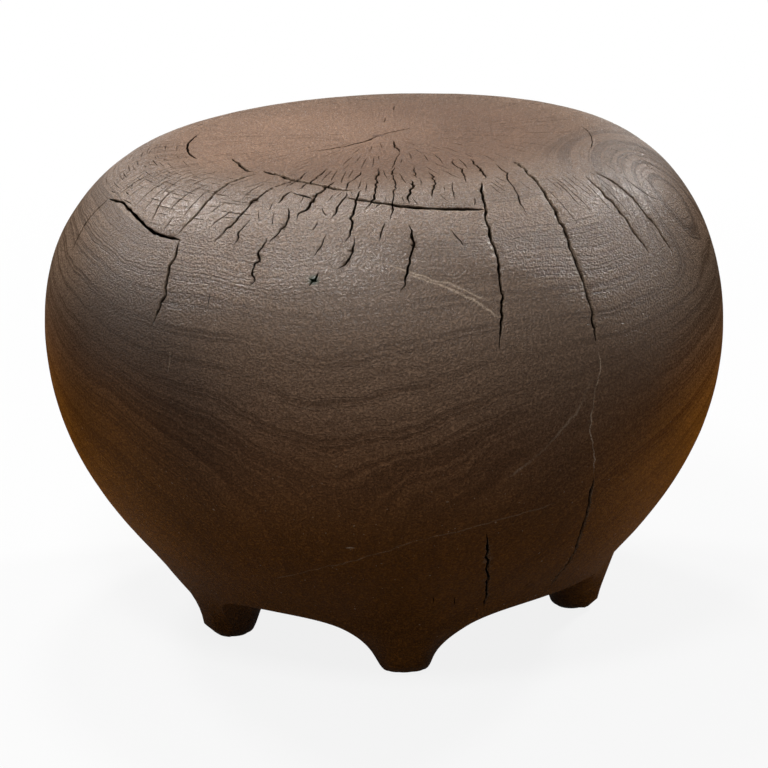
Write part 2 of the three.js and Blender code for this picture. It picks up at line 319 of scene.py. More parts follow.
class Carving:
    """The log's outside and its underside, as functions of an azimuth and a share of the way down."""

    TABLE_STEPS = 4000
    SMALL_STEP = 0.0005
    RIM_SEARCH_STEPS = 40
    FACE_SPREAD = FULL_TURN / 6

    def __init__(self, shape):
        self.shape = shape
        self.pad_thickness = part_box("felt_pad_front")[1].z
        self.ways = np.linspace(0, 1, self.TABLE_STEPS)
        self.radii, heights = self.outline(self.ways)
        # A map of the outside onto a flat disc that keeps its angles, so that one triangulation covers it
        runs = np.hypot(np.diff(self.radii), np.diff(heights))
        growth = np.r_[0, np.cumsum(runs / np.maximum((self.radii[1:] + self.radii[:-1]) / 2, MM))]
        edge = np.searchsorted(self.ways, FLAT_SHARE)
        spread = self.radii[edge] * np.exp(growth - growth[edge])
        self.map_radii = np.where(self.ways < FLAT_SHARE, self.radii, spread)

    def outline(self, way):
        """Radius and height of the bulb at shares of the way."""
        s = self.shape
        over = np.clip((way - FLAT_SHARE) / (WIDE_SHARE - FLAT_SHARE), 0, 1)
        under = np.clip((way - WIDE_SHARE) / (SKIRT_SHARE - WIDE_SHARE), 0, 1)
        last = np.clip((way - SKIRT_SHARE) / (1 - SKIRT_SHARE), 0, 1)
        arrive_radius = s.skirt_radius + s.skirt_ease * math.cos(s.skirt_slope)
        arrive_height = s.skirt_height + s.skirt_ease * math.sin(s.skirt_slope)
        low = s.skirt_height + (self.pad_thickness - s.skirt_height) * last
        stretches = [way <= FLAT_SHARE, way <= WIDE_SHARE, way <= SKIRT_SHARE]
        radius = np.select(stretches, [
            s.top_radius * way / FLAT_SHARE,
            bezier(s.top_radius, s.top_radius + s.shoulder_ease, s.belly_radius, s.belly_radius, over),
            bezier(s.belly_radius, s.belly_radius, arrive_radius, s.skirt_radius, under),
        ], s.skirt_radius - (s.skirt_height - low) / math.tan(s.skirt_slope))
        height = np.select(stretches, [
            np.full_like(way, s.top_height),
            bezier(s.top_height, s.top_height, s.belly_height + s.shoulder_rise, s.belly_height, over),
            bezier(s.belly_height, s.belly_height - s.belly_drop, arrive_height, s.skirt_height, under),
        ], low)
        return radius, height

    def foot_face(self, azimuth, height):
        """How far out the feet's outer faces reach."""
        s = self.shape
        lift = np.clip((height - self.pad_thickness) / s.toe_radius, 0, 1)
        toe = s.toe_radius * (1 - np.sqrt(1 - (1 - lift) ** 2))
        worn = smooth_step((s.corner_height - height) / s.corner_height)
        reach = np.full_like(height, -np.inf)
        for foot in FEET:
            turn = azimuth - math.radians(foot.degrees)
            turn = np.clip(np.arctan2(np.sin(turn), np.cos(turn)), -self.FACE_SPREAD, self.FACE_SPREAD)
            foot_reach = s.foot_reach * foot.reach_share
            aside = np.abs(foot_reach * np.sin(turn))
            corner = np.maximum(aside - s.sole_front, 0) ** 2 / (2 * s.sole_corner) * worn
            reach = np.maximum(reach, foot_reach - aside**2 / (2 * s.foot_round) - corner)
        return reach + math.tan(s.foot_batter) * (height - self.pad_thickness) - toe

    def side(self, azimuth, way):
        """Places on the outside of the wood."""
        s = self.shape
        azimuth, way = np.broadcast_arrays(azimuth, way)
        radius, height = self.outline(way)
        faced = smooth_max(radius, self.foot_face(azimuth, height), s.foot_blend)
        reach = radius + (faced - radius) * smooth_step((s.foot_top - height) / s.foot_fade)
        rise = np.clip((height - s.belly_height) / (s.top_height - s.belly_height), 0, 1)
        x = reach * np.sin(azimuth) - s.crown_shift * rise**2
        return in_rows(x, -reach * np.cos(azimuth), height + math.tan(s.crown_tilt) * x * smooth_step(rise))

    def side_normal(self, azimuth, way):
        """Outward normals there. On the flat of the top they are the flat's own."""
        way = np.clip(way, self.SMALL_STEP, 1 - self.SMALL_STEP)
        down = self.side(azimuth, way + self.SMALL_STEP) - self.side(azimuth, way - self.SMALL_STEP)
        along = self.side(azimuth + self.SMALL_STEP, way) - self.side(azimuth - self.SMALL_STEP, way)
        normal = np.cross(down, along)
        normal /= np.maximum(np.linalg.norm(normal, axis=-1, keepdims=True), NO_LENGTH)
        tilt = self.shape.crown_tilt
        flat = np.array([-math.sin(tilt), 0, math.cos(tilt)])
        return np.where((way < FLAT_SHARE)[..., None], flat, normal)

    def underside(self, x, y):
        """Height of the underside over places on the floor: the hollow, brought down at each foot."""
        s = self.shape
        raised = np.ones_like(x)
        for foot in FEET:
            out_x = math.sin(math.radians(foot.degrees))
            out_y = -math.cos(math.radians(foot.degrees))
            outward = x * out_x + y * out_y - self.foot_centre(foot)
            behind = np.minimum(outward, 0)
            apart = np.hypot(behind, y * out_x - x * out_y)
            heelward = (behind / np.maximum(apart, s.foot_half_width)) ** 2
            flare = s.foot_flare * foot.flare_share * (1 + (s.heel_flare - 1) * heelward)
            clear = apart - s.foot_half_width
            near = np.maximum(clear + s.toe_radius, 0) ** 2 / (4 * s.toe_radius)
            eased = np.where(clear > s.toe_radius, clear, near)
            raised = raised * (1 - np.exp(-eased / flare))
        hollow = s.hollow_height + s.hollow_rise * x / s.skirt_radius
        return self.pad_thickness + (hollow - self.pad_thickness) * raised

    def foot_centre(self, foot):
        s = self.shape
        return s.foot_reach * foot.reach_share - s.foot_half_width - s.heel_inset

    def rim_way(self, azimuth):
        """The share of the way at which the side meets the underside."""
        above = np.full_like(azimuth, WIDE_SHARE)
        below = np.ones_like(azimuth)
        for _ in range(self.RIM_SEARCH_STEPS):
            way = (above + below) / 2
            place = self.side(azimuth, way)
            clear = place[..., 2] > self.underside(place[..., 0], place[..., 1])
            above = np.where(clear, way, above)
            below = np.where(clear, below, way)
        return above

    def to_map(self, azimuth, way):
        return outwards(azimuth, np.interp(way, self.ways, self.map_radii))

    def from_map(self, spots):
        reach = np.hypot(spots[..., 0], spots[..., 1])
        return azimuth_of(spots), np.interp(reach, self.map_radii, self.ways)

    def map_scale(self, way):
        """How much larger the map is than the wood."""
        real = np.interp(way, self.ways, self.radii)
        on_map = np.interp(way, self.ways, self.map_radii)
        return np.where(way < FLAT_SHARE, 1, on_map / np.maximum(real, MM))

    def on_flat(self, x, y):
        """The map's spot for a place on the flat of the top."""
        return x + self.shape.crown_shift, y


class Track(NamedTuple):
    """A check or a scuff laid out on the map, with even steps along it: its middle, the direction across it,
    half its width, its depth in the wood, how far its edges are eased, and how much of it is left towards its
    ends, where it closes up. A scuff is pale, and a check gets painted shade inside and a painted highlight
    along its eased edges."""

    middle: np.ndarray
    across: np.ndarray
    half: np.ndarray
    depth: np.ndarray
    eased: np.ndarray
    left: np.ndarray
    pale: bool


def stray(run, knot, reach, rng):
    """How far a line strays to one side along its run, as it follows the grain from knot to knot."""
    knots = np.arange(0, run[-1] + 2 * knot, knot)
    return np.interp(run, knots, rng.normal(0, reach, len(knots)))


ROUTE_STEPS = 24
STATION_STEP = 1.4 * MM
RIM_MARGIN = 0.006

# A check closes up over this share of its run, or this run if that is shorter, to this share of its width
CLOSING_SHARE = 0.3
CLOSING_RUN = 13 * MM
CLOSING_POWER = 0.6
CLOSED_SHARE = 0.04

# How it strays to its side, and in its width: the spacing of the knots and the reach. One narrower than the
# straying width, or along a ring, strays less.
QUICK_SWING = (2.5 * MM, 0.45 * MM)
SLOW_SWING = (6 * MM, 0.8 * MM)
UNEVENNESS = (4 * MM, 0.16)
WIDTH_LIMITS = (0.6, 1.4)
STRAYING_WIDTH = 1.6 * MM
RING_STRAYING = 0.3

# The eased edge of a wide check as a share of its width, its slope and the strength of the painted highlight
# along it, and the depths from which a check's painted shade is full and a scuff fully pale
EASED_SHARE = 0.2
EASED_SLOPE = 0.4
LIP_HIGHLIGHT = 0.4
FULL_SHADE_DEPTH = 5 * MM
FULL_SCUFF = 0.2 * MM


def evenly(values):
    """Values at even steps along each leg between the given ones."""
    t = np.linspace(0, len(values) - 1, ROUTE_STEPS * (len(values) - 1) + 1)
    return np.interp(t, range(len(values)), values)


def down_the_side(carving, check):
    """A check's route on the map, kept above the rim."""
    azimuth = np.radians(evenly(check.degrees))
    way = np.minimum(evenly(check.ways), carving.rim_way(azimuth) - RIM_MARGIN)
    return carving.to_map(azimuth, way)


def across_the_flat(carving, bends):
    """A route over the flat of the top, through places in metres."""
    spots = [carving.on_flat(x, y) for x, y in bends]
    return in_rows(*(evenly(values) for values in zip(*spots)))


def lay_track(carving, route, width, depth, rng, eased=0.0, pale=False):
    """Lays a check out along a route, straying as it goes and closing up towards both ends."""
    legs = np.linalg.norm(np.diff(route, axis=0), axis=1)
    scale = carving.map_scale(carving.from_map(route)[1])
    run = np.r_[0, np.cumsum(legs / ((scale[1:] + scale[:-1]) / 2))]
    even = np.linspace(0, run[-1], max(int(run[-1] / STATION_STEP), 4) + 1)
    middle = in_rows(np.interp(even, run, route[:, 0]), np.interp(even, run, route[:, 1]))
    along = np.gradient(middle, axis=0)
    along /= np.linalg.norm(along, axis=1, keepdims=True)
    across = in_rows(-along[:, 1], along[:, 0])
    scale = np.interp(even, run, scale)
    from_end = np.minimum(even, run[-1] - even)
    closing = np.minimum(1, from_end / min(CLOSING_RUN, CLOSING_SHARE * run[-1])) ** CLOSING_POWER
    reach = np.hypot(*route.T)
    crooked = RING_STRAYING + (1 - RING_STRAYING) * min(1, abs(reach[-1] - reach[0]) / legs.sum())
    crooked *= min(1, width / STRAYING_WIDTH) ** 2
    swing = stray(even, *QUICK_SWING, rng) + stray(even, *SLOW_SWING, rng)
    middle = middle + across * (swing * crooked * scale * closing)[:, None]
    uneven = np.clip(1 + stray(even, *UNEVENNESS, rng), *WIDTH_LIMITS)
    half = width / 2 * scale * np.maximum(closing * uneven, CLOSED_SHARE)
    return Track(middle, across, half, depth * closing, eased * scale * closing, closing, pale)


class Tier(NamedTuple):
    """A tier of fine checks on the shoulder: how many are tried, and between which values each one lies round
    the stool, in degrees, starts on its way down, runs on from there, and is wide."""

    tries: int
    sector: tuple
    start: tuple
    fall: tuple
    width: tuple


TIERS = (
    Tier(80, (-100, -28), (0.165, 0.19), (0.08, 0.17), (0.8 * MM, 1.2 * MM)),
    Tier(80, (-100, -28), (0.22, 0.28), (0.06, 0.12), (0.7 * MM, 1.1 * MM)),
    Tier(40, (-28, 26), (0.115, 0.15), (0.03, 0.06), (0.7 * MM, 0.9 * MM)),
    Tier(30, (-28, 24), (0.20, 0.32), (0.02, 0.04), (0.6 * MM, 0.9 * MM)),
    Tier(26, (27, 37), (0.18, 0.28), (0.03, 0.06), (0.5 * MM, 0.7 * MM)),
    Tier(34, (38, 56), (0.27, 0.33), (0.05, 0.11), (0.5 * MM, 0.9 * MM)),
    Tier(20, (62, 92), (0.27, 0.36), (0.03, 0.07), (0.5 * MM, 0.7 * MM)),
    Tier(110, (95, 258), (0.24, 0.30), (0.05, 0.14), (0.8 * MM, 1.3 * MM)),
)

# The checks about the pith: each one's width and the places it goes through on the flat, in millimetres
PITH_CHECKS = (
    (2.6, ((-5, 13), (-14, -5), (-33, -23), (-59, -36))),
    (2.2, ((-5, 13), (8, 26), (24, 38))),
    (1.8, ((7, -7), (9, -30), (13, -53))),
    (0.9, ((13, -53), (10, -68), (6, -110))),
    (0.7, ((0, 62), (1, 85))),
    (0.8, ((8, 108), (9, 126))),
    (0.9, ((-36, 34), (-31, 33))),
)
PITH_CHECK_DEPTH = 3 * MM


class Layout:
    """All the checks and scuffs of the log. The fine checks that run outwards keep clear of each other."""

    shoulder_gap = 2.8 * MM
    pith_gap = 3.4 * MM
    pith_hairlines = 170
    pith_fan = 110
    pith_bend = 0.16 / MM
    ring_sectors = ((-100, -30), (120, 240))
    ring_ways = (0.185, 0.36, 0.013)
    ring_wander = 0.003

    def __init__(self, carving, rng):
        self.carving = carving
        self.rng = rng
        self.tracks = []
        self.taken = []

    def lay(self, route, width, depth, eased=0.0, pale=False, gap=0.0, clear=True):
        """Adds a track, unless it comes nearer than a gap to one that later ones have to keep clear of."""
        track = lay_track(self.carving, route, width, depth, self.rng, eased, pale)
        if gap:
            others = np.concatenate(self.taken)
            if np.linalg.norm(track.middle[::2, None] - others, axis=2).min() < gap:
                return
        self.tracks.append(track)
        if clear and not pale:
            self.taken.append(track.middle[::2])

    def lay_down(self, check, **options):
        """Adds a check or a scuff that runs over the side."""
        self.lay(down_the_side(self.carving, check), check.width, check.depth, **options)

    def lay_across(self, bends, width, depth, **options):
        """Adds a check on the flat of the top."""
        self.lay(across_the_flat(self.carving, bends), width, depth, **options)

    def lay_drawn(self):
        """The checks and scuffs at places of their own. Fine checks may cross those that follow a ring."""
        for check in WIDE_CHECKS:
            self.lay_down(check, eased=EASED_SHARE * check.width)
        for check in NARROW_CHECKS:
            self.lay_down(check)
        for scuff in SCUFFS:
            self.lay_down(scuff, pale=True)
        self.taken = [middle for middle in self.taken if self.runs_outwards(middle)]
        for check in RING_CHECKS:
            self.lay_down(check, clear=False)
        for width, places in PITH_CHECKS:
            self.lay_across([(x * MM, y * MM) for x, y in places], width * MM, PITH_CHECK_DEPTH)

    def runs_outwards(self, middle):
        reach = np.hypot(*middle.T)
        return abs(reach[-1] - reach[0]) > 0.5 * np.hypot(*(middle[-1] - middle[0]))

    def lay_shoulder_hairlines(self):
        """The tiers of fine checks that run down the shoulder."""
        for tier in TIERS:
            first, last = tier.sector
            for place in range(tier.tries):
                degrees = first + (last - first) * (place + self.rng.uniform(0.2, 0.8)) / tier.tries
                way = self.rng.uniform(*tier.start)
                fall = self.rng.uniform(*tier.fall)
                lean = self.rng.uniform(-1.5, 1.5)
                turns = (degrees, degrees + lean * 0.3, degrees + lean)
                ways = (way, way + fall / 2, way + fall)
                check = Check(self.rng.uniform(*tier.width), self.rng.uniform(2, 4) * MM, turns, ways)
                self.lay_down(check, gap=self.shoulder_gap)

    def lay_pith_hairlines(self):
        """A fan of fine checks over the front of the flat, away from the pith. Those to the right bend
        forwards."""
        for place in range(self.pith_hairlines):
            turn = -self.pith_fan + 2 * self.pith_fan * (place + self.rng.uniform(0, 1)) / self.pith_hairlines
            start = self.rng.uniform(22, 120) * MM
            run = self.rng.uniform(16, 50) * MM
            bend = self.pith_bend * run if 10 < turn < 75 else 0
            bends = []
            for share in (0, 0.5, 1):
                way_out = math.radians(turn - bend * share)
                reach = start + run * share
                bends.append((PITH_X + reach * math.sin(way_out), PITH_Y - reach * math.cos(way_out)))
            width, depth = self.rng.uniform(0.5, 0.9) * MM, self.rng.uniform(1, 2) * MM
            self.lay_across(bends, width, depth, gap=self.pith_gap)

    def lay_ring_hairlines(self):
        """Fine checks along the growth rings, which part the shoulder into small blocks."""
        for first, last in self.ring_sectors:
            for ring in np.arange(*self.ring_ways):
                degrees = first + self.rng.uniform(0, 8)
                while degrees < last:
                    span = self.rng.uniform(2, 9)
                    way = ring + self.wander()
                    width, depth = self.rng.uniform(0.5, 0.8) * MM, self.rng.uniform(1, 2) * MM
                    check = Check(width, depth, (degrees, degrees + span), (way, way + self.wander()))
                    self.lay_down(check, clear=False)
                    degrees += span + self.rng.uniform(2, 12)

    def wander(self):
        return self.rng.uniform(-self.ring_wander, self.ring_wander)


def all_tracks(carving, rng):
    layout = Layout(carving, rng)
    layout.lay_drawn()
    layout.lay_shoulder_hairlines()
    layout.lay_pith_hairlines()
    layout.lay_ring_hairlines()
    return layout.tracks


class Sheet:
    """A triangulated sheet on the map or on the floor, built up from loops, lines and loose places."""

    def __init__(self):
        self.spots = []
        self.lines = []
        self.count = 0

    def add(self, spots, closed=False, joined=True):
        """Adds places, as a line where they are joined, and returns their numbers."""
        numbers = np.arange(self.count, self.count + len(spots))
        self.spots.append(np.asarray(spots))
        self.count += len(spots)
        if joined:
            self.lines += list(zip(numbers[:-1], numbers[1:]))
        if closed:
            self.lines.append((numbers[-1], numbers[0]))
        return numbers

    def join(self, numbers):
        self.lines += list(zip(numbers[:-1], numbers[1:]))

    def triangulate(self):
        """Places, triangles, and the number of the first place added that each place stands for, or -1."""
        spots = [Vector(spot) for spot in np.concatenate(self.spots).tolist()]
        lines = [(int(a), int(b)) for a, b in self.lines]
        inside_only = 1
        found, _, faces, sources, _, _ = delaunay_2d_cdt(spots, lines, [], inside_only, 1e-8)
        source = np.array([min(near) if near else -1 for near in sources])
        return np.array([tuple(spot) for spot in found]), np.array(faces), source


def tree_of(spots):
    tree = kdtree.KDTree(len(spots))
    for number, (x, y) in enumerate(spots.tolist()):
        tree.insert((x, y, 0), number)
    tree.balance()
    return tree


def away_from(spots, clearance, tracks):
    """The places that lie clear of every track."""
    middles = np.concatenate([track.middle for track in tracks])
    halves = np.concatenate([track.half + track.eased for track in tracks])
    tree = tree_of(middles)
    kept = []
    for (x, y), margin in zip(spots.tolist(), clearance):
        _, number, distance = tree.find((x, y, 0))
        if distance > margin + halves[number]:
            kept.append((x, y))
    return np.array(kept)


def cut(spots, tracks):
    """What the tracks do at each place on the map: how deep they go, how much painted shade a check gets, and
    how pale a scuff is or the painted highlight along a check's eased edge."""
    tree = tree_of(spots)
    depth, check_shade, scuffs_and_highlights = np.zeros((3, len(spots)))
    for track in tracks:
        for start in range(len(track.middle) - 1):
            a, b = track.middle[start], track.middle[start + 1]
            leg = b - a
            reach = np.hypot(*leg) / 2 + (track.half + track.eased)[start:start + 2].max()
            near = np.array([number for _, number, _ in tree.find_range((*((a + b) / 2), 0), reach)], int)
            if not len(near):
                continue
            t = np.clip((spots[near] - a) @ leg / max(leg @ leg, NO_LENGTH), 0, 1)
            gap = np.linalg.norm(spots[near] - a - t[:, None] * leg, axis=1)
            half, eased, deep, left = (
                values[start] * (1 - t) + values[start + 1] * t
                for values in (track.half, track.eased, track.depth, track.left))
            opened = np.clip(1 - gap / half, 0, 1)
            edge = np.clip(1 - (gap - half) / np.maximum(eased, NO_LENGTH), 0, 1)
            depth[near] = np.maximum(depth[near], opened * deep + edge**2 * eased * EASED_SLOPE)
            if track.pale:
                pale = opened * left * np.minimum(1, deep / FULL_SCUFF)
            else:
                # A check's painted shade, full from a depth on
                painted_shade = np.minimum(1, 2 * left) * np.minimum(1, deep / FULL_SHADE_DEPTH)
                check_shade[near] = np.maximum(check_shade[near], opened * painted_shade)
                # A painted highlight along an eased lip
                pale = edge * (1 - opened) * left * (eased > 0) * LIP_HIGHLIGHT
            scuffs_and_highlights[near] = np.maximum(scuffs_and_highlights[near], pale)
    return depth, check_shade, scuffs_and_highlights


RIM_COLUMNS = 560
LOW_COLUMNS = 400
LOW_START = 0.86
LOW_ROWS = 12
SURFACE_STEP = 5 * MM
ROW_SHARE = 0.87
WAY_STEP = 0.001
CLEARANCE = 1.1 * MM

# How near the rim, as a share of the way, the hand-shaped facets fade out
FACET_HOLD = 0.03

# The underside: its places far from the feet and near them, how near the rim they come, and its gouge marks
UNDER_STEPS = ((5.5 * MM, False), (2.6 * MM, True))
NEAR_FOOT = 52 * MM
UNDER_MARGIN = 1.6 * MM
SOLE_HOLD = 3 * MM
GOUGE_RISE = 12 * MM
GOUGE_HOLD = 14 * MM
GOUGE_DEPTH = 1.6 * MM


def surface_places(carving):
    """Evenly strewn places over the outside, on the map, with the map's scale at each."""
    spots = []
    scales = []
    way = 0.0
    row = 0
    while way < LOW_START:
        radius, _ = carving.outline(np.array([way]))
        count = max(int(FULL_TURN * radius[0] / SURFACE_STEP), 1)
        azimuth = FULL_TURN * (np.arange(count) + 0.5 * (row % 2)) / count
        spots.append(carving.to_map(azimuth, np.full(count, way)))
        scales.append(np.full(count, carving.map_scale(np.array(way))))
        run = np.linalg.norm(carving.side(0.0, way + WAY_STEP) - carving.side(0.0, way)) / WAY_STEP
        way += ROW_SHARE * SURFACE_STEP / run
        row += 1
    azimuth = all_round(LOW_COLUMNS)
    rim = carving.rim_way(azimuth)
    for row in range(LOW_ROWS):
        turned = azimuth + (row % 2) * FULL_TURN / LOW_COLUMNS / 2
        lowest = np.interp(turned, azimuth, rim, period=FULL_TURN)
        way = LOW_START + (lowest - LOW_START) * (row / LOW_ROWS)
        spots.append(carving.to_map(turned, way))
        scales.append(carving.map_scale(way))
    return np.concatenate(spots), np.concatenate(scales)


def dips(places, seed, step, octaves=3):
    """An uneven height between 0 and 1 over places, the same each run."""
    shift = Vector((seed, 2.3 * seed, -1.7 * seed))
    return np.array([0.5 + 0.5 * noise.fractal(Vector(place) / step + shift, 1.0, 2.0, octaves)
                     for place in places.tolist()]).clip(0, 1)


def outer_sheet(carving, tracks):
    """The outside of the log with every check cut in: its places and triangles, and at each place how much
    painted shade its checks give it and how pale its scuffs and painted lip highlights are."""
    sheet = Sheet()
    azimuth = all_round(RIM_COLUMNS)
    rim = carving.rim_way(azimuth)
    sheet.add(carving.to_map(azimuth, rim), closed=True)
    for track in tracks:
        first = sheet.add(track.middle)
        middle, across = track.middle[1:-1], track.across[1:-1]
        for side in (-1, 1):
            lip = sheet.add(middle + side * (across * track.half[1:-1, None]))
            sheet.join([first[0], lip[0]])
            sheet.join([lip[-1], first[-1]])
            if track.eased.any():
                beyond = across * (track.half + track.eased)[1:-1, None]
                sheet.add(middle + side * beyond, joined=False)
    spots, scales = surface_places(carving)
    sheet.add(away_from(spots, scales * CLEARANCE, tracks), joined=False)

    spots, faces, source = sheet.triangulate()
    azimuths, ways = carving.from_map(spots)
    at_rim = (source >= 0) & (source < RIM_COLUMNS)
    azimuths[at_rim] = azimuth[source[at_rim]]
    ways[at_rim] = rim[source[at_rim]]
    places = carving.side(azimuths, ways)
    depth, check_shade, scuffs_and_highlights = cut(spots, tracks)
    depth[at_rim] = 0
    held = smooth_step((np.interp(azimuths, azimuth, rim, period=FULL_TURN) - ways) / FACET_HOLD)
    dipping = 0.35 + 0.45 * dips(places, 11, 95 * MM) + 0.2 * dips(places, 5, 26 * MM)
    inward = depth + carving.shape.facet_depth * dipping * held
    places = places - carving.side_normal(azimuths, ways) * inward[:, None]
    return places, faces, np.stack([check_shade, scuffs_and_highlights])


def under_sheet(carving):
    """The hollowed underside, from the same rim inwards."""
    azimuth = all_round(RIM_COLUMNS)
    rim = carving.side(azimuth, carving.rim_way(azimuth))
    rim_reach = np.hypot(rim[:, 0], rim[:, 1])

    def inside_rim(spots):
        edge = np.interp(azimuth_of(spots), azimuth_of(rim), rim_reach, period=FULL_TURN)
        return edge - np.hypot(spots[:, 0], spots[:, 1])

    sheet = Sheet()
    sheet.add(rim[:, :2], closed=True)
    centres = [outwards(math.radians(foot.degrees), carving.foot_centre(foot)) for foot in FEET]
    for step, near_feet in UNDER_STEPS:
        row = np.arange(-carving.shape.belly_radius, carving.shape.belly_radius, step)
        x, y = np.meshgrid(row, row * math.sqrt(3) / 2)
        x = x + (np.arange(len(row)) % 2)[:, None] * step / 2
        spots = in_rows(x.ravel(), y.ravel())
        by_foot = np.min([np.hypot(*(spots - centre).T) for centre in centres], axis=0) < NEAR_FOOT
        sheet.add(spots[(by_foot == near_feet) & (inside_rim(spots) > UNDER_MARGIN)], joined=False)
    spots, faces, source = sheet.triangulate()
    at_rim = (source >= 0) & (source < RIM_COLUMNS)
    height = carving.underside(spots[:, 0], spots[:, 1])
    lift = smooth_step((height - carving.pad_thickness - SOLE_HOLD) / GOUGE_RISE)
    held = smooth_step(inside_rim(spots) / GOUGE_HOLD)
    gouges = dips(in_rows(*spots.T, height), 29, 17 * MM, 2)
    places = in_rows(*spots.T, height + GOUGE_DEPTH * gouges * lift * held)
    places[at_rim] = rim[source[at_rim]]
    return places, faces[:, ::-1]


class Term:
    """One socket of a material, so that shader maths is written as a plain expression."""

    def __init__(self, finish, socket):
        self.finish = finish
        self.socket = socket

    def math(self, operation, *values):
        return self.finish.node("ShaderNodeMath", {"operation": operation}, dict(enumerate(values)))

    def __add__(self, other):
        return self.math("ADD", self, other)

    def __sub__(self, other):
        return self.math("SUBTRACT", self, other)

    def __rsub__(self, other):
        return self.math("SUBTRACT", other, self)

    def __mul__(self, other):
        return self.math("MULTIPLY", self, other)

    def __truediv__(self, other):
        return self.math("DIVIDE", self, other)

    def __pow__(self, other):
        return self.math("POWER", self, other)

    def __abs__(self):
        return self.math("ABSOLUTE", self)

    __radd__ = __add__
    __rmul__ = __mul__

    def or_larger(self, other):
        return self.math("MAXIMUM", self, other)

    def rise(self, low, high):
        """0 at the low value and 1 at the high one, eased between them. The low one may be the larger."""
        if low > high:
            return 1 - self.rise(high, low)
        return self.finish.node("ShaderNodeMapRange", {"interpolation_type": "SMOOTHSTEP"},
                                {"Value": self, "From Min": low, "From Max": high})


class Nodes:
    """A tree of shader nodes, and the ways to add to it."""

    def __init__(self, tree):
        self.tree = tree

    def node(self, kind, settings=None, values=None, output=0):
        """Adds a node: its settings first, then the values or links of its sockets."""
        made = self.tree.nodes.new(kind)
        for name, setting in (settings or {}).items():
            setattr(made, name, setting)
        for socket, value in (values or {}).items():
            self.feed(made.inputs[socket], value)
        return Term(self, made.outputs[output])

    def feed(self, socket, value):
        if isinstance(value, Term):
            self.tree.links.new(value.socket, socket)
        else:
            socket.default_value = (*value, 1) if socket.type == "RGBA" else value

    def seen_direct(self):
        """1 where the camera sees a surface, also in a mirror or through glass, and 0 where light bounces."""
        seen, mirrored, passed = (self.node("ShaderNodeLightPath", output=f"Is {ray} Ray")
                                  for ray in ("Camera", "Glossy", "Transmission"))
        return seen.or_larger(mirrored).or_larger(passed)


class Finish(Nodes):
    """A material, with places in metres in the stool's own frame."""

    def __init__(self, name):
        self.material = bpy.data.materials.new(name)
        self.material.use_nodes = True
        super().__init__(self.material.node_tree)
        self.surface = self.tree.nodes["Principled BSDF"]
        self.place = self.node("ShaderNodeTexCoord", output="Object")

    def set(self, **values):
        """Feeds the surface shader, whose sockets are named with _ for each space."""
        for name, value in values.items():
            self.feed(self.surface.inputs[name.replace("_", " ")], value)

    def lay_over(self, share, other):
        """Mixes the surface shader over another shader, by a share."""
        surface = Term(self, self.surface.outputs[0])
        mixed = self.node("ShaderNodeMixShader", None, {0: share, 1: other, 2: surface})
        self.feed(self.tree.nodes["Material Output"].inputs["Surface"], mixed)

    def along(self, axis):
        return self.node("ShaderNodeSeparateXYZ", None, {0: self.place}, axis)

    def stretched(self, x, y, z):
        return self.node("ShaderNodeVectorMath", {"operation": "MULTIPLY"}, {0: self.place, 1: (x, y, z)})

    def joined(self, x, y, z):
        return self.node("ShaderNodeCombineXYZ", None, {0: x, 1: y, 2: z})

    def distance_from(self, spot):
        return self.node("ShaderNodeVectorMath", {"operation": "DISTANCE"}, {0: self.place, 1: spot}, "Value")

    def noise(self, place, scale, detail=2.0, roughness=0.5, distortion=0.0):
        return self.node("ShaderNodeTexNoise", None, {
            "Vector": place, "Scale": scale, "Detail": detail, "Roughness": roughness,
            "Distortion": distortion})

    def mix(self, share, first, second, blend="MIX"):
        return self.node("ShaderNodeMix", {"data_type": "RGBA", "blend_type": blend},
                         {0: share, 6: first, 7: second}, 2)

    def tint(self, share, first, second):
        """Multiplies the first colour by the second."""
        return self.mix(share, first, second, "MULTIPLY")

    def in_turn(self, blend, colour_here, *layers):
        """Blends each layer's colour over the one before it, by the layer's share."""
        for share, paint in layers:
            colour_here = blend(share, colour_here, paint)
        return colour_here

    def bump(self, height, strength, distance):
        values = {"Height": height, "Strength": strength, "Distance": distance}
        return self.node("ShaderNodeBump", None, values)


# Growth lines: their pitch, how far they climb towards the middle, and how far the log's axis leans forwards
RING_PITCH = 4.5 * MM
RING_TAPER = 1.1
PITH_LEAN = 0.6
RAYS_ROUND = 30
CHECK_SHADE = "check_shade_share"
SCUFF_AND_HIGHLIGHT = "scuff_and_highlight_share"


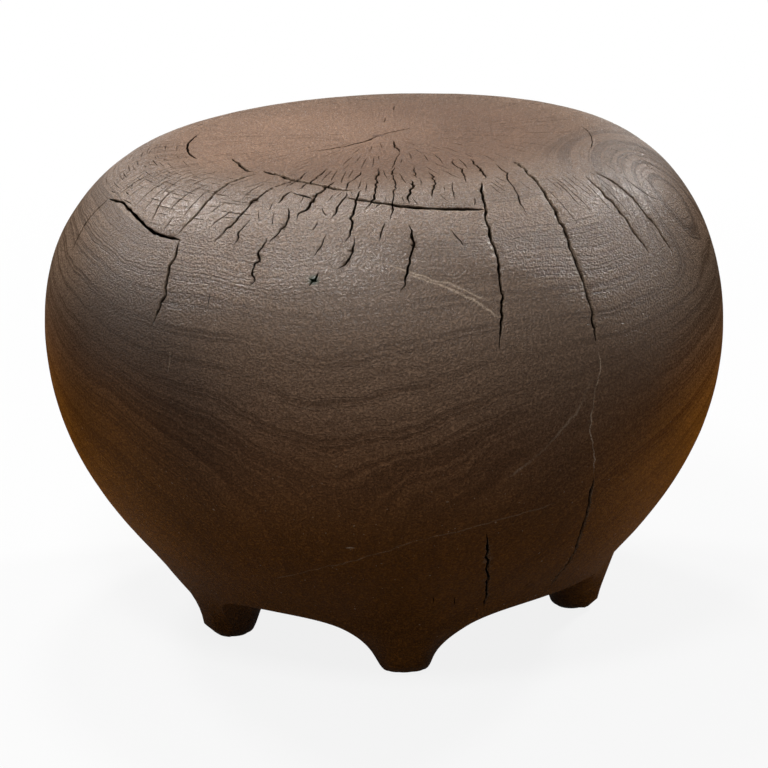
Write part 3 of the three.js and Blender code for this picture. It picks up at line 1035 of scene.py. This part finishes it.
def oiled_log(colours, top_height, knot, swirl, dark_side):
    """Oiled end grain and side grain of one dark log: a satin shoulder, and matte wood elsewhere, warmer low
    down and at the sides with painted warm reflection.
    """
    wood = Finish("oiled_dark_log")
    x, y, z = (wood.along(axis) for axis in range(3))
    beside, before = x - PITH_X, y - PITH_Y
    from_pith = (beside ** 2 + before ** 2) ** 0.5
    on_top = from_pith.rise(0.24, 0.17) * z.rise(0.25, 0.34)
    shoulder = from_pith.rise(0.155, 0.225) * z.rise(0.28, 0.34)

    # Growth lines about the leaning axis, rays about the pith, and the pebbled grain
    leaning = before + (top_height - z) * PITH_LEAN
    from_axis = (beside ** 2 + leaning ** 2) ** 0.5
    slow = wood.noise(wood.stretched(1, 1, 0.8), 5, 2)
    quick = wood.noise(wood.stretched(1, 1, 0.8), 42, 2)
    swirling = wood.distance_from(swirl).rise(0.11, 0)
    grown = from_axis - z * RING_TAPER + (slow - 0.5) * 0.05 + (quick - 0.5) * 0.006 + swirling * 0.12
    late_wood = wood.noise(wood.joined(grown / RING_PITCH, 0.4, 0.7), 1, 4, 0.8).rise(0.46, 0.6)
    ray_place = wood.joined(beside / from_pith * RAYS_ROUND, before / from_pith * RAYS_ROUND, from_pith * 12)
    rays = wood.noise(ray_place, 1, 2, 0.6).rise(0.46, 0.3) * on_top * from_pith.rise(0.012, 0.05)
    ridges = wood.noise(wood.stretched(1, 1, 1.2), 500, 2, 0.6).rise(0.4, 0.6)
    creases = abs(wood.noise(wood.stretched(0.9, 0.9, 1.3), 260, 2, 0.5) - 0.5).rise(0.05, 0)
    fine = wood.noise(wood.place, 820, 2, 0.6)
    patches = wood.noise(wood.place, 7, 3, 0.55)
    lined = 0.25 + z.rise(0.14, 0.22) * 0.3 + shoulder * 0.1 - on_top * 0.35
    lined = lined * (0.4 + patches.rise(0.35, 0.6) * 0.8) + swirling.rise(0, 0.4) * 0.5

    # Each part of the log has its colour, darker towards the bottom, with painted warm reflection low down
    # and at the sides and a painted pool of light on the top; the grain darkens it, and so does painted shade
    # in part of the relief's hollows
    # A painted warm reflection on both lower sides
    warm_reflection_share = abs(x).rise(0.13, 0.25) * z.rise(0.30, 0.16) * (0.6 + patches.rise(0.3, 0.6) * 0.4)
    tone_and_painted_light = wood.mix(z.rise(0.33, 0.2), colours.shoulder_wood, colours.belly_wood)
    tone_and_painted_light = wood.in_turn(
        wood.mix, tone_and_painted_light,
        # darker and warmer low down, the warmth partly painted warm reflection
        (z.rise(0.25, 0.11), colours.low_wood_and_warm_reflection),
        (warm_reflection_share, colours.painted_warm_reflection),
        (from_pith.rise(0.22, 0.10) * z.rise(0.2, 0.3), colours.top_wood),
        # a painted pool of light on the top
        (wood.distance_from(TOP_LIGHT_POOL_PLACE).rise(0.17, 0.03) * 0.6, colours.top_light_pool))
    grain_and_relief_shade = wood.in_turn(
        wood.tint, tone_and_painted_light,
        (patches.rise(0.7, 0.35) * 0.4, (0.6, 0.58, 0.57)),
        (wood.distance_from(dark_side).rise(0.16, 0.05) * 0.8, (0.42, 0.44, 0.49)),
        (from_pith.rise(7 * MM, 2 * MM) * on_top * 0.7, (0.35, 0.28, 0.25)),
        (late_wood * lined, (0.5, 0.45, 0.4)),
        (rays * 0.3, (0.45, 0.38, 0.34)),
        # The hollows of the pebbled relief darker: partly grain tone, partly painted shade
        ((1 - ridges) * 0.65, (0.5, 0.47, 0.44)),
        (creases * 0.35, (0.36, 0.32, 0.29)),
        (fine.rise(0.56, 0.36) * 0.6, (0.5, 0.47, 0.45)))

    # Checks get painted shade inside and a painted highlight along their eased lips; scuffs and some specks
    # low down are pale
    opened, pale = (wood.node("ShaderNodeAttribute", {"attribute_name": name}, output="Fac")
                    for name in (CHECK_SHADE, SCUFF_AND_HIGHLIGHT))
    specks = wood.noise(wood.place, 420, 0).rise(0.83, 0.86) * z.rise(0.3, 0.1) * 0.5
    marks = (pale * (0.3 + quick.rise(0.36, 0.52) * 0.7) * fine.rise(0.3, 0.5)).or_larger(specks)
    marked = wood.in_turn(
        wood.mix, grain_and_relief_shade,
        # pale scuffs and specks, and painted highlights along eased lips
        (marks * 0.8, colours.scuff_and_lip_highlight),
        # painted shade inside the checks
        (opened.rise(0, 0.2), colours.check_painted_shade),
        (wood.distance_from(knot).rise(6 * MM, 2 * MM) * 0.8, colours.knot_stain))

    # A satin layer over the matte wood, strongest on the shoulder and absent inside the checks
    height = ridges * 0.6 + fine * 0.6 - creases * 0.2 - late_wood * lined * 0.7 - rays * 0.15
    wood.set(Base_Color=marked, Roughness=0.22 + creases * 0.1 + patches * 0.06,
             Normal=wood.bump(height, 1.0, 0.5 * MM), Specular_IOR_Level=0.45)
    matte = wood.node("ShaderNodeBsdfPrincipled", None, {
        "Base Color": marked, "Roughness": 0.75 + ridges * 0.2,
        "Normal": wood.bump(height, 1.0, 1.8 * MM), "Specular IOR Level": 0})
    satin = 0.04 + shoulder * 0.36 + z.rise(0.22, 0.32) * 0.18
    wood.lay_over(satin * abs(x).rise(0.26, 0.19) * opened.rise(0.1, 0), matte)
    return wood.material


def needle_felt(colours):
    """Dense dark felt, with short fibres that lie every way."""
    felt = Finish("dark_needle_felt")
    fibres = felt.noise(felt.place, 900, 4, 0.7, 2.5)
    clumps = felt.noise(felt.place, 160, 2)
    pale_fibre = [3 * part for part in colours.felt]
    fibrous = felt.mix(fibres.rise(0.35, 0.7), colours.felt, pale_fibre)
    felt.set(Base_Color=felt.tint(clumps.rise(0.65, 0.35) * 0.5, fibrous, (0.5, 0.5, 0.5)),
             Roughness=0.9 + fibres * 0.1, Sheen_Weight=0.3, Normal=felt.bump(fibres, 0.8, 0.4 * MM))
    return felt.material


FLOOR_GREY = (0.3, 0.3, 0.3)
FLOOR_GLOW = 0.86
FLOOR_FADE = (0.7, 1.6)


def pale_floor():
    """A grey floor that the camera sees as nearly white, with a faint shadow, and as plain white far out."""
    floor = Finish("pale_floor")
    x, y = floor.along(0), floor.along(1)
    far = ((x ** 2 + y ** 2) ** 0.5).rise(*FLOOR_FADE)
    floor.set(Base_Color=FLOOR_GREY, Roughness=0.7)
    white = floor.node("ShaderNodeEmission", None, {"Color": (1, 1, 1), "Strength": 1})
    floor.lay_over(1 - floor.seen_direct() * (FLOOR_GLOW + far * (1 - FLOOR_GLOW)), white)
    return floor.material


def solid_piece(name, places, faces, material, sharp_degrees):
    """A smooth-shaded mesh object whose edges stay crisp where its faces meet at more than an angle."""
    mesh = bpy.data.meshes.new(name)
    mesh.from_pydata(places.tolist(), [], faces.tolist())
    mesh.materials.append(material)
    mesh.shade_smooth()
    mesh.set_sharp_from_angle(angle=math.radians(sharp_degrees))
    piece = bpy.data.objects.new(name, mesh)
    bpy.context.scene.collection.objects.link(piece)
    return piece


def welded(places, faces, nearness=1e-7):
    """Joins places that coincide, and gives the number that each old place now has."""
    keys = np.round(places / nearness).astype(np.int64)
    _, first, now = np.unique(keys, axis=0, return_index=True, return_inverse=True)
    return places[first], now.ravel()[faces], first


class FOOTSTOOL_OT_carve_body(bpy.types.Operator):
    """Carves the log: seat, body and feet in one piece, with its drying checks"""

    bl_idname = "footstool.carve_body"
    bl_label = "Carve the log"

    seed = 7

    def execute(self, context):
        carving = Carving(context.scene.footstool_shape)
        tracks = all_tracks(carving, np.random.default_rng(self.seed))
        outside, outside_faces, marks = outer_sheet(carving, tracks)
        under, under_faces = under_sheet(carving)
        places = np.concatenate([outside, under])
        faces = np.concatenate([outside_faces, under_faces + len(outside)])
        marks = np.concatenate([marks, np.zeros((2, len(under)))], axis=1)
        places, faces, kept = welded(places, faces)
        marked = [tuple(carving.side(math.radians(degrees), way))
                  for degrees, way in (KNOT, SWIRL, DARK_SIDE)]
        finish = oiled_log(context.scene.footstool_finish, carving.shape.top_height, *marked)
        log = solid_piece("carved_log", places, faces, finish, sharp_degrees=38)
        for name, values in zip((CHECK_SHADE, SCUFF_AND_HIGHLIGHT), marks):
            attribute = log.data.attributes.new(name, "FLOAT", "POINT")
            attribute.data.foreach_set("value", values[kept].astype(np.float32))
        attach(log, "root")
        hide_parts("carved_body")
        return {"FINISHED"}


class FOOTSTOOL_OT_stick_felt_pads(bpy.types.Operator):
    """Sticks a felt disc under each foot"""

    bl_idname = "footstool.stick_felt_pads"
    bl_label = "Stick the felt pads on"

    columns = 96
    edge_rows = 8
    face_rows = 5
    edge_depth = 0.9 * MM
    fuzz = 0.3 * MM

    def execute(self, context):
        felt = needle_felt(context.scene.footstool_finish)
        for number, foot in enumerate(FEET):
            node = f"felt_pad_{foot.name}"
            disc = self.disc(f"felt_disc_{foot.name}", *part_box(node), felt, number)
            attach(disc, "root")
            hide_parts(node)
        return {"FINISHED"}

    def disc(self, name, low, high, felt, seed):
        """A disc with a full, slightly frayed edge, inside a node's box."""
        centre = (low + high) / 2
        radius = (high.x - low.x) / 2
        half_thickness = (high.z - low.z) / 2
        turns = np.linspace(-FULL_TURN / 4, FULL_TURN / 4, self.edge_rows + 1)
        flat = np.linspace(0, 1, self.face_rows + 1)[1:-1] * (radius - self.edge_depth)
        reach = np.r_[flat, radius - self.edge_depth + self.edge_depth * np.cos(turns), flat[::-1]]
        height = np.r_[np.full(len(flat), -1.0), np.sin(turns), np.full(len(flat), 1.0)]
        shrinkage = np.random.default_rng(seed).uniform(0, 1, (len(reach), self.columns))
        frayed = reach[:, None] * (1 - self.fuzz / radius * shrinkage)
        rings = outwards(all_round(self.columns), frayed, height[:, None] * half_thickness)
        places = np.concatenate([[(0, 0, -half_thickness)], rings.reshape(-1, 3), [(0, 0, half_thickness)]])
        here = 1 + np.arange(frayed.size).reshape(frayed.shape)
        beside = np.roll(here, -1, axis=1)
        triangles = (in_rows(0, beside[0], here[0]),
                     in_rows(len(places) - 1, here[-1], beside[-1]),
                     in_rows(here[:-1], beside[:-1], beside[1:]),
                     in_rows(here[:-1], beside[1:], here[1:]))
        faces = np.concatenate([group.reshape(-1, 3) for group in triangles])
        return solid_piece(name, places + np.array(centre), faces, felt, sharp_degrees=60)


class Lamp(NamedTuple):
    """A soft square lamp: the way to it from the stool, in degrees from the front towards the right and in
    degrees above the floor, its distance, its side and its power."""

    name: str
    degrees: float
    rise: float
    distance: float
    side: float
    power: float


# Placed so that the shoulder shines where it does in the photograph
LAMPS = (
    Lamp("softbox_front", -20, 55, 2.4, 0.6, 60),
    Lamp("softbox_above", -165, 62, 2.5, 0.4, 46),
    Lamp("softbox_left_back", -130, 45, 2.6, 0.45, 60),
    Lamp("softbox_right_back", 130, 35, 2.6, 0.35, 64),
)
AMBIENT_STRENGTH = 0.16


class FOOTSTOOL_OT_set_stage(bpy.types.Operator):
    """Sets the camera, the lamps, the pale floor and the white surroundings"""

    bl_idname = "footstool.set_stage"
    bl_label = "Set the stage"

    look_at = Vector((0, 0, 0.19))
    camera_distance = 2.8
    camera_degrees = 16.5
    lens = 159.6
    floor_reach = 30
    floor_columns = 64

    def execute(self, context):
        self.set_camera(context.scene)
        self.hang_lamps(context.scene)
        self.lay_floor()
        self.whiten_world(context.scene)
        context.scene.view_settings.view_transform = "Standard"
        return {"FINISHED"}

    def set_camera(self, scene):
        rise = math.radians(self.camera_degrees)
        camera = bpy.data.objects.new("camera", bpy.data.cameras.new("camera"))
        camera.data.lens = self.lens
        camera.location = self.look_at + self.camera_distance * Vector((0, -math.cos(rise), math.sin(rise)))
        camera.rotation_euler = (math.pi / 2 - rise, 0, 0)
        scene.collection.objects.link(camera)
        scene.camera = camera

    def hang_lamps(self, scene):
        for lamp in LAMPS:
            light = bpy.data.lights.new(lamp.name, "AREA")
            light.size = lamp.side
            light.energy = lamp.power
            hung = bpy.data.objects.new(lamp.name, light)
            turn, rise = math.radians(lamp.degrees), math.radians(lamp.rise)
            way = Vector((math.sin(turn) * math.cos(rise), -math.cos(turn) * math.cos(rise), math.sin(rise)))
            hung.location = self.look_at + lamp.distance * way
            hung.rotation_euler = way.to_track_quat("Z", "Y").to_euler()
            scene.collection.objects.link(hung)

    def lay_floor(self):
        azimuth = all_round(self.floor_columns)
        column = np.arange(self.floor_columns)
        faces = in_rows(0, column + 1, (column + 1) % self.floor_columns + 1)
        places = np.concatenate([[(0, 0, 0)], outwards(azimuth, self.floor_reach, 0)])
        solid_piece("floor", places, faces, pale_floor(), sharp_degrees=60)

    def whiten_world(self, scene):
        world = bpy.data.worlds.new("white_studio")
        world.use_nodes = True
        nodes = Nodes(world.node_tree)
        background = world.node_tree.nodes["Background"]
        nodes.feed(background.inputs["Color"], (1, 1, 1))
        strength = AMBIENT_STRENGTH + nodes.seen_direct() * (1 - AMBIENT_STRENGTH)
        nodes.feed(background.inputs["Strength"], strength)
        scene.world = world


class FOOTSTOOL_PT_build(bpy.types.Panel):
    """Builds the stool piece by piece"""

    bl_idname = "FOOTSTOOL_PT_build"
    bl_label = "Carved log footstool"
    bl_space_type = "VIEW_3D"
    bl_region_type = "UI"
    bl_category = "Footstool"

    def draw(self, context):
        for operator in OPERATORS:
            self.layout.operator(operator.bl_idname)
        for group in (context.scene.footstool_shape, context.scene.footstool_finish):
            column = self.layout.column()
            for name in group.__annotations__:
                column.prop(group, name)


OPERATORS = (FOOTSTOOL_OT_carve_body, FOOTSTOOL_OT_stick_felt_pads, FOOTSTOOL_OT_set_stage)
CLASSES = (FootstoolShape, FootstoolFinish, *OPERATORS, FOOTSTOOL_PT_build)


def register():
    for kind in CLASSES:
        bpy.utils.register_class(kind)
    bpy.types.Scene.footstool_shape = bpy.props.PointerProperty(type=FootstoolShape)
    bpy.types.Scene.footstool_finish = bpy.props.PointerProperty(type=FootstoolFinish)


def unregister():
    del bpy.types.Scene.footstool_finish
    del bpy.types.Scene.footstool_shape
    for kind in reversed(CLASSES):
        bpy.utils.unregister_class(kind)


def main():
    register()
    bpy.ops.footstool.carve_body()
    bpy.ops.footstool.stick_felt_pads()
    bpy.ops.footstool.set_stage()


if __name__ == "__main__":
    main()
